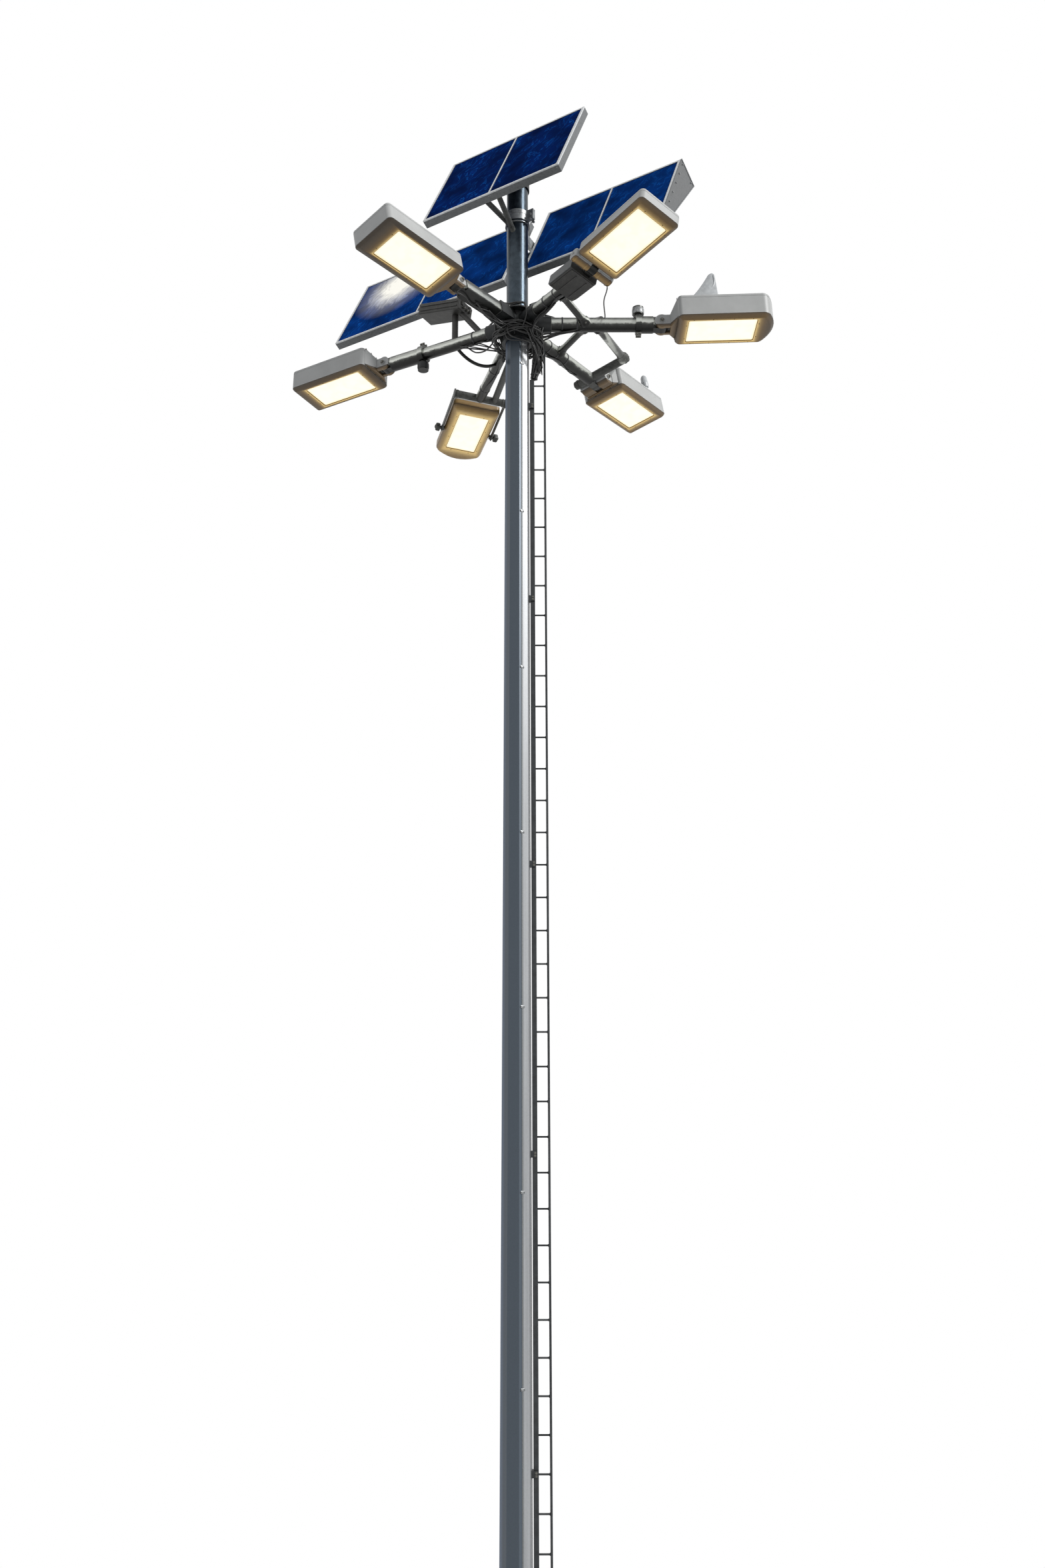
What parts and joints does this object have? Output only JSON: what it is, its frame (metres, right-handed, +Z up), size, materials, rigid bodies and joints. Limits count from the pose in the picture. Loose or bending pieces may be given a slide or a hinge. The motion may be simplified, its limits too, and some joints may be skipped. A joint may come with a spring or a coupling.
{
  "type": "high mast floodlight tower with solar arrays",
  "caption": "Tall tapered octagonal steel mast on a bolted flange, with radial floodlight heads on tilting knuckles, tilted solar arrays above them and a narrow side ladder.",
  "frame": {"origin": "centre of the base flange's underside, at ground level", "axes": "+Z up along the mast, +X towards the ladder and the third arm, -Y towards the side with two arms"},
  "size_m": [5.0034, 4.4386, 17.1935],
  "materials": {
    "galvanised": "hot-dip galvanised, satin",
    "weathered_steel": "dark weathered zinc",
    "head_casting": "powder-coated grey casting",
    "bare_metal": "dull steel",
    "lens": "frosted, lit warm white",
    "array_frame": "clear anodised",
    "solar_glass": "deep blue silicon cells under glass",
    "box_paint": "dark grey enamel",
    "cable": "matt black sheath"
  },
  "bodies": {
    "root": {"arm_1": "galvanised", "arm_2": "galvanised", "arm_2_side_plate": "galvanised", "arm_3": "galvanised", "arm_4": "galvanised", "arm_5": "galvanised", "arm_6": "galvanised", "base_plate": "galvanised", "braces": "weathered_steel", "crossbar_4": "weathered_steel", "gear_box_left": "box_paint", "gear_box_right": "box_paint", "handhole_door": "galvanised", "hub": "weathered_steel", "ladder": "galvanised", "ladder_brackets": "galvanised", "left_array_frame": "array_frame", "left_array_glass": "solar_glass", "lower_beam": "weathered_steel", "lower_clamp": "weathered_steel", "mast_lower_section": "galvanised", "mast_shaft": "galvanised", "mast_top_tube": "galvanised", "right_array_end_plate": "array_frame", "right_array_frame": "array_frame", "right_array_glass": "solar_glass", "supply_cables": "cable", "upper_array_frame": "array_frame", "upper_array_glass": "solar_glass", "upper_array_mount": "weathered_steel", "upper_array_strut": "weathered_steel", "yoke_5_crossbar": "weathered_steel", "yoke_5_sides": "weathered_steel", "yoke_5_strut": "weathered_steel"},
    "head_1": {"head_1_cap": "head_casting", "head_1_housing": "head_casting", "head_1_lens": "lens"},
    "head_2": {"head_2_barrel": "head_casting", "head_2_housing": "head_casting", "head_2_lens": "lens"},
    "head_3": {"head_3_cap": "head_casting", "head_3_fin": "head_casting", "head_3_housing": "head_casting", "head_3_lens": "lens"},
    "head_4": {"head_4_cap": "head_casting", "head_4_housing": "head_casting", "head_4_lens": "lens", "head_4_sensor": "bare_metal"},
    "head_5": {"head_5_housing": "head_casting", "head_5_lens": "lens", "head_5_trunnions": "bare_metal"},
    "head_6": {"head_6_cap": "head_casting", "head_6_housing": "head_casting", "head_6_lens": "lens"},
    "sleeve_3": {"sleeve_3": "galvanised"},
    "sleeve_6": {"sleeve_6": "galvanised"}
  },
  "joints": [
    {"name": "arm_3_swivel", "type": "hinge", "parent": "root", "child": "sleeve_3", "pos_m": [1.245, 0, 15], "axis": [1, 0, 0], "range_deg": [-30, 30]},
    {"name": "arm_6_swivel", "type": "hinge", "parent": "root", "child": "sleeve_6", "pos_m": [-1.21154, 0.68545, 15], "axis": [-0.8704, 0.4924, 0], "range_deg": [-30, 30]},
    {"name": "head_1_tilt", "type": "hinge", "parent": "root", "child": "head_1", "pos_m": [-0.58108, -0.6925, 15], "axis": [-0.7433, 0.6237, -0.2419], "range_deg": [-30, 20]},
    {"name": "head_2_tilt", "type": "hinge", "parent": "root", "child": "head_2", "pos_m": [0.70052, -0.99184, 14.97888], "axis": [-0.7864, -0.5609, 0.2588], "range_deg": [-30, 20]},
    {"name": "head_3_tilt", "type": "hinge", "parent": "sleeve_3", "child": "head_3", "pos_m": [1.445, 0, 15], "axis": [0, -0.9976, 0.0698], "range_deg": [-30, 20]},
    {"name": "head_4_tilt", "type": "hinge", "parent": "root", "child": "head_4", "pos_m": [0.84584, 1.14308, 15], "axis": [0.7916, -0.5858, 0.1736], "range_deg": [-30, 20]},
    {"name": "head_5_tilt", "type": "hinge", "parent": "root", "child": "head_5", "pos_m": [-0.58984, 2.02679, 14.88078], "axis": [0.9589, 0.275, -0.0698], "range_deg": [-30, 20]},
    {"name": "head_6_tilt", "type": "hinge", "parent": "sleeve_6", "child": "head_6", "pos_m": [-1.38561, 0.78394, 15], "axis": [0.4912, 0.8682, -0.0698], "range_deg": [-30, 20]}
  ]
}
